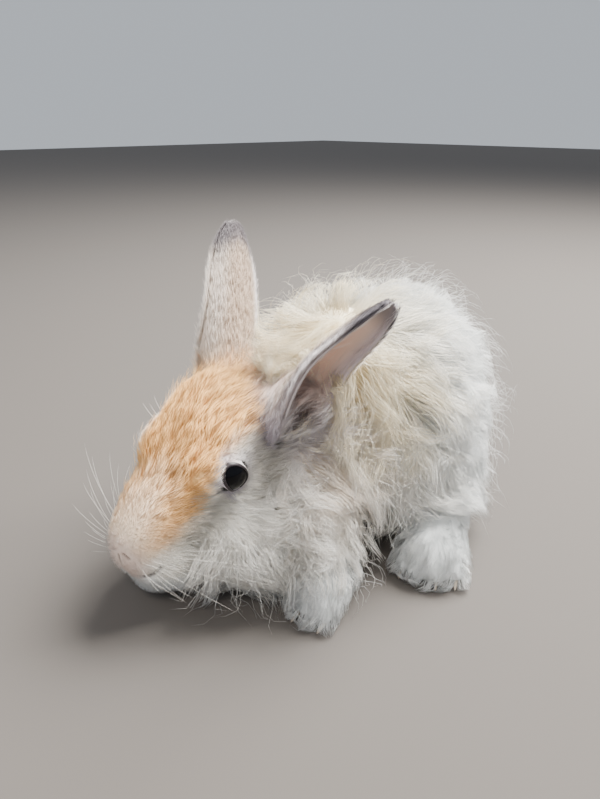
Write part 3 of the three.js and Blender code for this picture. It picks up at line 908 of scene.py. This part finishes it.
def wave(line, n, size, turns, phase):
    """A soft crimp across each hair, growing towards its tip."""
    t = np.linspace(0, 1, line.shape[1])[None, :]
    side = unit(np.cross(line[:, -1] - line[:, 0], n))
    angle = math.tau * turns[:, None] * t + phase[:, None]
    swing, lift = np.sin(angle) * t * size[:, None], np.cos(angle) * t * size[:, None]
    return line + side[:, None] * swing[:, :, None] + n[:, None] * lift[:, :, None] * 0.5


def clear_of_ears(line):
    """Moves wool that would run through an ear out to its side."""
    flat = line[:, 1:].reshape(-1, 3)
    for side in EARS:
        base, along, _, length, _ = ear_frame(side)
        space = round_cone(base + along * 6, base + along * (length - 8), 10.5, 8.5)
        inside = np.maximum(0.5 - space(flat), 0)[:, None]
        up = ((flat - base) @ along)[:, None]
        flat = flat + unit(flat - base - along * up) * inside
    return np.concatenate([line[:, :1], flat.reshape(len(line), -1, 3)], axis=1)


def over_floor(line, level):
    """Keeps hair from reaching under a level, in millimetres over the floor."""
    line[:, :, 2] = np.maximum(line[:, :, 2], level)
    return line


def unwrap(p, centres):
    """Each root's place on an equal-area unwrap about the nearest centre, one tile to a centre."""
    centres = np.atleast_2d(centres)
    nearest = np.linalg.norm(p[:, None] - centres[None], axis=2).argmin(axis=1)
    way = unit(p - centres[nearest])
    place = np.stack([np.arctan2(way[:, 0], -way[:, 1]) / math.tau + 0.5, way[:, 2] / 2 + 0.5], axis=1)
    tiles = math.ceil(math.sqrt(len(centres)))
    return (place * 0.97 + 0.015 + np.stack([nearest % tiles, nearest // tiles], axis=1)) / tiles


PATCH = 0.003  # how far across each hair's patch of the unwrap is


def coat_piece(name, line, n, width, hair_colour, place, material, sides=3, flatness=0.6):
    """One mesh of closed, tapered hairs along their lines, each with its own patch of the unwrap."""
    count, rings = len(line), line.shape[1] - 1
    t = np.linspace(0, 1, rings + 1)[:rings]
    tangent = unit(np.gradient(line, axis=1))[:, :rings]
    side = unit(np.cross(tangent, n[:, None]))
    up = np.cross(tangent, side)
    half = width[:, None] / 2 * (0.75 + 0.5 * t - 0.95 * t ** 2.2)[None]
    around = math.tau * np.arange(sides) / sides + math.pi / 2
    ring = (
        line[:, :rings, None]
        + side[:, :, None] * (np.cos(around)[None, None, :, None] * half[:, :, None, None])
        + up[:, :, None] * (np.sin(around)[None, None, :, None] * half[:, :, None, None] * flatness)
    )
    made = np.concatenate([ring.reshape(count, rings * sides, 3), line[:, -1:]], axis=1)
    per = rings * sides + 1
    faces = []
    for k in range(rings):
        for j in range(sides):
            a, b = k * sides + j, k * sides + (j + 1) % sides
            faces.append((a, b, b + sides, a + sides) if k < rings - 1 else (a, b, per - 1))
    faces.append(tuple(reversed(range(sides))))
    corners = np.array([corner for face in faces for corner in face])
    first = np.cumsum([0] + [len(face) for face in faces])[:-1]
    each = np.arange(count)[:, None]
    mesh = bpy.data.meshes.new(name)
    mesh.vertices.add(count * per)
    mesh.vertices.foreach_set("co", to_model(made.reshape(-1, 3)).astype(np.float32).ravel())
    loops = (corners + per * each).ravel()
    mesh.loops.add(len(loops))
    mesh.loops.foreach_set("vertex_index", loops.astype(np.int32))
    starts = (first + len(corners) * each).ravel()
    mesh.polygons.add(len(starts))
    mesh.polygons.foreach_set("loop_start", starts.astype(np.int32))
    mesh.update(calc_edges=True)
    mesh.validate()
    # Painted shade: each hair, whisker and claw is painted a little darker at its root than at its tip, as
    # the shade deep in the coat.
    shade = np.concatenate([np.repeat(0.94 + 0.06 * np.minimum(1, t * 1.6), sides), [1.0]])
    paint(mesh, "markings", (hair_colour[:, None] * shade[None, :, None]).reshape(-1, 3))
    point = np.arange(per)
    patch = np.stack([point % sides / (sides - 1) - 0.5, point // sides / rings - 0.5], axis=1) * PATCH
    layer = mesh.uv_layers.new(name="OFBake")
    layer.data.foreach_set("uv", (place[:, None] + patch[None])[:, corners].astype(np.float32).ravel())
    made = add_object(name, mesh, material)
    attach(made, "root")
    return made


# The roots p, the way n outwards at each, and the share w of each part there. Roots are thinned
# out to each part's density, and left out of the eyes, the soles, the mouth and the nostrils.
SEED = 5
p, n, rng = scatter(grown, growth[:, 0].max(), SEED)
w = shares(p)
density = (w @ growth[:, 0]) * (1 - 0.5 * w[:, TRUNK] * smoothstep(-0.2, -0.6, n[:, 2]))
keep = rng.random(len(p)) < density / growth[:, 0].max()
for _, at, out in EYES:
    axis, across, _ = round_eye(p, at, out)
    keep &= ~((across < LID_RADIUS - 0.1) & (np.abs(axis) < 12))
keep &= (p[:, 2] > 1.0) & (mouth_and_nostrils(p) < 0.15)
p, n, w = p[keep], n[keep], w[keep]
_, length, height, width, lift = (w @ growth).T
lie = lie_of_coat(p, n, w)
part = w.argmax(axis=1)
cheek = cheek_share(p, w)
part[(part == HEAD) & (cheek > 0.3)] = CHEEKS


def close_to(p, place, reach, fade):
    """1 within reach of a place, and fading out past it."""
    return np.exp(-np.maximum(np.linalg.norm(p - place, axis=1) - reach, 0) / fade)


# Where the hair is woolly or on the muzzle, round an eye, between the ears or under the belly.
woolly = 1 - w[:, HEAD] - w[:, PAWS] - w[:, EAR_ROOTS]
muzzle = w[:, HEAD] * (1 - smoothstep(-42, -18, in_head(p)[:, 1]))
at_eye = sum(close_to(p, at, 8, 2.5) for at in eyes_at)
crown = sum(close_to(p, ear[0], 9, 6) for ear in EARS.values())
crown = np.minimum(crown, 1) * (w[:, HEAD] + w[:, EAR_ROOTS])
belly = w[:, TRUNK] * (1 - smoothstep(18, 36, p[:, 2]))
length = length * (1 + 1.2 * cheek - 0.72 * muzzle + 0.7 * crown - 0.35 * belly) * (1 - 0.7 * at_eye)
length = length * rng.uniform(0.75, 1.15, len(p))
height = (height + 3.5 * cheek - 0.6 * muzzle + 2.5 * crown) * (1 - 0.6 * at_eye)
lift = lift * rng.uniform(0.6, 1.3, len(p))
tint = coat_colour(p)

HEAD_CENTRE = on_head(0, -5, -6)
LEG_AND_TAIL_CENTRES = [(24, 17, 22), (-31, 15, 22), (0, 124, 44)]
FOOT_CENTRES = [
    (*(np.array(heel) * 0.5 + np.array(toes) * 0.5), 6.0) for heel, toes, *_ in FEET.values()]
# Name, parts, segments of a hair, centres of the unwrap, hairs to a lock, how far the tips are drawn
# together, size of the crimp in millimetres, and a slot name that is not used.
COAT_PIECES = (
    ("coat_face", (HEAD, EAR_ROOTS), 2, HEAD_CENTRE, 22, 0.35, 0.6, "fawn_fur"),
    ("coat_cheeks", (CHEEKS,), 3, HEAD_CENTRE, 20, 0.5, 1.0, "fawn_fur"),
    ("coat_feet", (PAWS,), 2, FOOT_CENTRES, 45, 0.8, 0.4, "white_wool"),
    ("coat_legs_and_tail", (FORELEGS, TAIL), 4, LEG_AND_TAIL_CENTRES, 18, 0.6, 1.2, "white_wool"),
    ("coat_ruff", (RUFF,), 4, (-14, 42, 58.0), 24, 0.6, 2.0, "white_wool"),
    ("coat_chest", (CHEST,), 4, (-7, 10, 29.0), 24, 0.6, 2.0, "white_wool"),
    ("coat_trunk", (TRUNK,), 4, (-2, 70, 50.0), 26, 0.6, 2.2, "white_wool"),
)
TRIANGLES_A_PIECE = 195000
for name, parts, segments, centres, every, together, crimp, slot in COAT_PIECES:
    mine = np.isin(part, parts)
    root, out, soft = p[mine], n[mine], woolly[mine]
    guides, lock = locks_of(root, every, rng)
    count, locks = len(root), len(guides)
    astray = rng.normal(0, 1, (locks, 3))[lock] * (0.16 + 0.3 * soft)[:, None]
    astray = astray + rng.normal(0, 0.09, (count, 3))
    way = lie[mine] + astray
    way = unit(way - out * (way * out).sum(axis=1, keepdims=True))
    bend = rng.normal(0, 1, locks)[lock] * (0.15 + 0.5 * soft) + rng.normal(0, 0.12, count)
    stand = np.maximum(rng.normal(-0.6, 2.2, locks), 0)[lock] * (soft + 0.5 * (name == "coat_feet"))
    stand = stand + height[mine] * rng.uniform(0.8, 1.08, count)
    if name == "coat_face":
        loose = (rng.random(count) < 0.08) * (1 - muzzle[mine]) * (1 - np.minimum(at_eye[mine], 1))
        stand = stand + loose * rng.uniform(1.5, 5, count)
        bend = bend + loose * rng.normal(0, 0.5, count)
    line = grow(root, out, way, length[mine], stand, lift[mine], bend, segments)
    line = gather(line, line[guides[lock]], np.clip(rng.normal(together, 0.18, count), 0, 0.92), 0.3)
    size = crimp * rng.uniform(0.4, 1.1, locks)[lock] * rng.uniform(0.7, 1.2, count)
    size = size * (1 - 0.8 * muzzle[mine])
    turns = rng.uniform(0.6, 1.35, locks)[lock]
    phase = rng.uniform(0, math.tau, locks)[lock] + rng.normal(0, 0.45, count)
    line = wave(line, out, size, turns, phase)
    if segments > 3:
        line = clear_of_ears(line)
    line = over_floor(line, 0.25)
    shade = rng.uniform(0.95, 1.02, locks)[lock] * rng.uniform(0.96, 1.02, count)
    centre = np.mean(np.atleast_2d(centres), axis=0)
    order = np.argsort(np.arctan2(root[:, 0] - centre[0], root[:, 1] - centre[1]))
    triangles = count * (6 * (segments - 1) + 4)
    chunks = np.array_split(order, math.ceil(triangles / TRIANGLES_A_PIECE))
    for i, chunk in enumerate(chunks):
        made = coat_piece(
            f"{name}_{i + 1}" if len(chunks) > 1 else name, line[chunk], out[chunk], width[mine][chunk],
            (tint[mine] * shade[:, None])[chunk], unwrap(root[chunk], centres), wool_fibre)


# The stray wool
# Long single curls that stand out of the coat, most of them over the back, rump and flanks.
# They grow from the same roots as the rest and are thinner.
STRAYS = 2200
STRAY_WIDTH = 0.11
chance = woolly * (0.25 + smoothstep(-0.2, 0.6, n[:, 2]))
strays = rng.choice(len(p), STRAYS, replace=False, p=chance / chance.sum())
line = grow(
    p[strays], n[strays], lie[strays], length[strays] * rng.uniform(1.0, 1.35, STRAYS),
    height[strays] + rng.uniform(1, 10, STRAYS), np.full(STRAYS, 0.9), rng.normal(0, 1.2, STRAYS), 7)
line = wave(
    line, n[strays], rng.uniform(1.0, 3.5, STRAYS), rng.uniform(0.8, 2.2, STRAYS),
    rng.uniform(0, math.tau, STRAYS))
line = over_floor(clear_of_ears(line), 0.3)
made = coat_piece(
    "coat_strays", line, n[strays], np.full(STRAYS, STRAY_WIDTH), tint[strays],
    unwrap(p[strays], (-2, 50, 50.0)), wool_fibre, flatness=0.9)


# The fur of the ears
# Short, fine hair that lies towards the tip over the back of each ear and stands out a little
# past its rims. The inside carries longer, pale hairs near the root and along the rims.
EAR_HAIRS = 9000
RIM_SHARE = 0.2
for side in EARS:
    _, along, face, _, _ = ear_frame(side)
    across = np.cross(along, face)
    u, s = rng.uniform(-1, 1, EAR_HAIRS), rng.uniform(0.03, 0.98, EAR_HAIRS)
    rim = rng.random(EAR_HAIRS) < RIM_SHARE
    u[rim] = np.sign(u[rim]) * rng.uniform(0.93, 1.0, rim.sum())
    chance = 0.35 * (1 - smoothstep(0.1, 0.6, s)) + 0.3 * smoothstep(0.5, 0.95, np.abs(u))
    inside = ~rim & (rng.random(EAR_HAIRS) < chance)
    root = ear_point(side, u, s, np.where(inside, 0.4, -0.4))
    out = unit(ear_point(side, u, s, -1.0) - ear_point(side, u, s)) * np.where(inside, -1, 1)[:, None]
    ahead = unit(ear_point(side, u, np.minimum(s + 0.01, 1), -0.4) - ear_point(side, u, s - 0.01, -0.4))
    rim_way = np.sign(u)[:, None] * across * (rim * 0.35 + (1 - rim) * 0.08)[:, None]
    way = unit(ahead + rim_way + out * 0.07 + rng.normal(0, 0.1, (EAR_HAIRS, 3)))
    low = 1 - smoothstep(0, 0.32, s)
    long = rng.uniform(4.5, 7.0, EAR_HAIRS) * (1 + 0.5 * inside + 0.9 * low)
    long = long * (1 - 0.5 * smoothstep(0.7, 0.95, s))
    steps = np.array((0, 0.5, 1.0))[None, :, None] * long[:, None, None]
    arch = np.array((0, 0.3, 0.15))[None, :, None]
    line = root[:, None] + way[:, None] * steps + out[:, None] * arch
    rise = out * low[:, None] * rng.uniform(0, 2.5, (EAR_HAIRS, 1))
    line = line + rise[:, None] * (steps / long[:, None, None])
    pale = over(ear_outside(side, u, s), CUP_HAIR, inside * 0.8)
    made = coat_piece(
        "coat_ear_" + side, line, out, rng.uniform(0.15, 0.2, EAR_HAIRS),
        pale * rng.uniform(0.95, 1.03, (EAR_HAIRS, 1)),
        np.stack([u * 0.3 + 0.5, s * 0.96 + 0.02], axis=1), wool_fibre)


# The whiskers
# Stiff, pale bristles that taper to their tips and fan out sideways from rows on the whisker
# pads, with a few shorter ones over each eye.
BRISTLE = "e9e4dc"
BRISTLE_WIDTH = 0.11
whisker_hair = new_material("whisker_bristle", BRISTLE, 0.4, Specular_IOR_Level=0.4)
root, way, long = [], [], []
for sign in (1, -1):
    for row in range(4):
        for k in range(5):
            root.append(on_head(sign * (8 + k * 1.6), -45 + k * 3.0, -9.5 - row * 2.3))
            way.append(HEAD_TURN @ np.array((sign * 1.0, -0.3 + 0.2 * k, 0.45 - 0.22 * row)))
            long.append(17 + 6 * k)
    for k in range(3):
        root.append(on_head(sign * 15, -5 + k * 2, 17))
        way.append(HEAD_TURN @ np.array((sign * 0.9, -0.1 + 0.2 * k, 0.9)))
        long.append(12.0 + k)
root, way, long = np.array(root), unit(np.array(way)), np.array(long)
root = onto(skin_field, root, 6) - outward(skin_field, root) * 0.4
way = unit(way + rng.normal(0, 0.1, way.shape))
long = long * rng.uniform(0.6, 1.1, len(long))
t = np.linspace(0, 1, 8)[None, :, None]
line = root[:, None] + way[:, None] * t * long[:, None, None]
line = line + np.array((0, 0.2, -0.1)) * (t ** 2) * long[:, None, None]
line = over_floor(line, 0.5)
whiskers = coat_piece(
    "whiskers", line, np.tile((0, 0, 1.0), (len(line), 1)), np.full(len(line), BRISTLE_WIDTH),
    np.tile(colour(BRISTLE), (len(line), 1)), unwrap(root, HEAD_CENTRE), whisker_hair, flatness=1.0)


# The claws
# Four small curved claws of pale horn on each foot, almost hidden in the fur of the toes.
HORN = "cabdad"
CLAW_LENGTH, CLAW_WIDTH = 5.5, 1.7
claw_horn = new_material("claw_horn", HORN, 0.35, Specular_IOR_Level=0.4)
for name, (heel, toes, _, _, toe_spread, toe_size) in FEET.items():
    heel, toes = np.array((*heel, 0.0)), np.array((*toes, 0.0))
    along, _, root = toes_of(heel, toes, toe_spread, toe_size)
    t = np.linspace(0, 1, 7)[None, :, None]
    curve = np.array((0, 0, 1)) * (2.6 + 0.6 * t - 2.5 * t * t)
    line = root[:, None] + along * (t * CLAW_LENGTH) + curve
    place = unwrap(root, np.mean(root, axis=0) - (0, 0, 9))
    claws = coat_piece(
        "claws_" + name, line, np.tile((0, 0, 1.0), (4, 1)), np.full(4, CLAW_WIDTH),
        np.tile(colour(HORN), (4, 1)), place, claw_horn, 8, 1.2)

low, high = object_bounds()
